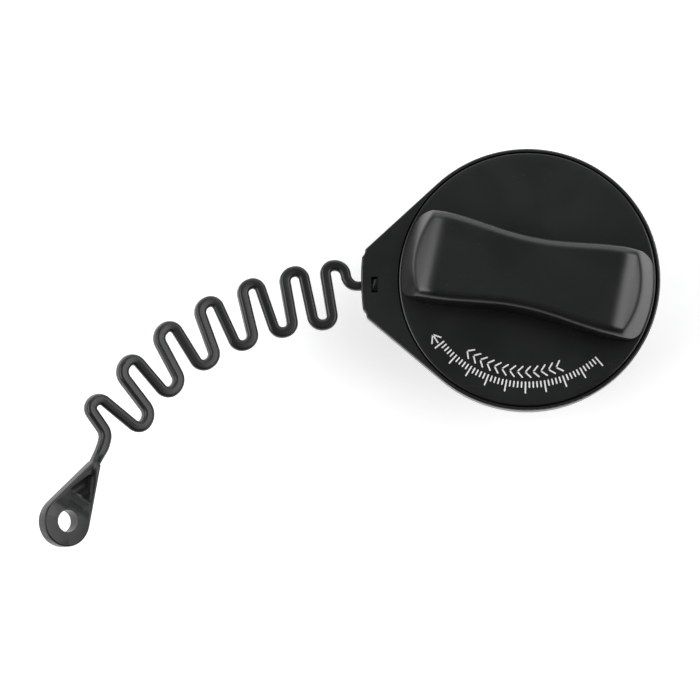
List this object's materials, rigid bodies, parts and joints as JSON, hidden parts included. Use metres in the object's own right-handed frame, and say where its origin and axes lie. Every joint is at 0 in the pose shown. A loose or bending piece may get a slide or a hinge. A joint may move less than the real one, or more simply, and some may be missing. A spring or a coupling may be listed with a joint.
{
  "type": "fuel filler cap",
  "caption": "Threaded fuel filler cap with a waisted grip bar, ratchet drive, relief valves, and a loose ring whose tab holds a moulded zigzag tether.",
  "frame": {"origin": "middle of the plug's flat foot, on the cap's axis", "axes": "+Z along the cap's axis, up to the grip; the tether leaves towards -X; +Y is square to both"},
  "size_m": [0.1824, 0.1187, 0.0632],
  "materials": {
    "cover_satin": "satin black moulded cover, finely textured",
    "tether_satin": "satin black moulded ring and tether",
    "plug_nylon": "black glass-filled nylon, faint flow marks",
    "seal_rubber": "black fuel-proof rubber, matt",
    "acetal_white": "natural white acetal",
    "valve_nylon": "natural nylon",
    "filter_foam": "open-cell foam, charcoal",
    "spring_steel": "bright spring steel",
    "poppet_brass": "turned brass"
  },
  "bodies": {
    "closure": {"closure_body": "plug_nylon", "neck_gasket": "seal_rubber", "vent_filter": "filter_foam", "seat_cup": "plug_nylon", "seat_o_ring": "seal_rubber", "pressure_spring": "spring_steel"},
    "handle": {"grip_cover": "cover_satin", "drive_plate": "acetal_white", "torque_ring": "acetal_white"},
    "tether": {"tether_ring": "tether_satin", "tether_strap": "tether_satin"},
    "pressure_valve": {"valve_plate": "valve_nylon", "pressure_seal": "seal_rubber", "spring_cup": "spring_steel"},
    "vacuum_valve": {"vacuum_poppet": "poppet_brass", "vacuum_clip": "spring_steel", "vacuum_spring": "spring_steel"}
  },
  "joints": [
    {"name": "handle_ratchet", "type": "hinge", "parent": "closure", "child": "handle", "pos_m": [0, 0, 0.0265], "axis": [0, 0, 1], "range_deg": [-360, 0], "deforming": ["torque_ring"]},
    {"name": "tether_swivel", "type": "hinge", "parent": "closure", "child": "tether", "pos_m": [0, 0, 0.0265], "axis": [0, 0, 1], "continuous": true},
    {"name": "pressure_relief", "type": "slide", "parent": "closure", "child": "pressure_valve", "axis": [0, 0, 1], "range_m": [0, 0.002], "stiffness_N_per_m": 900, "springref_m": -0.003, "deforming": ["pressure_spring"]},
    {"name": "vacuum_relief", "type": "slide", "parent": "pressure_valve", "child": "vacuum_valve", "axis": [0, 0, -1], "range_m": [0, 0.0015], "stiffness_N_per_m": 150, "springref_m": -0.002, "deforming": ["vacuum_spring"]}
  ]
}
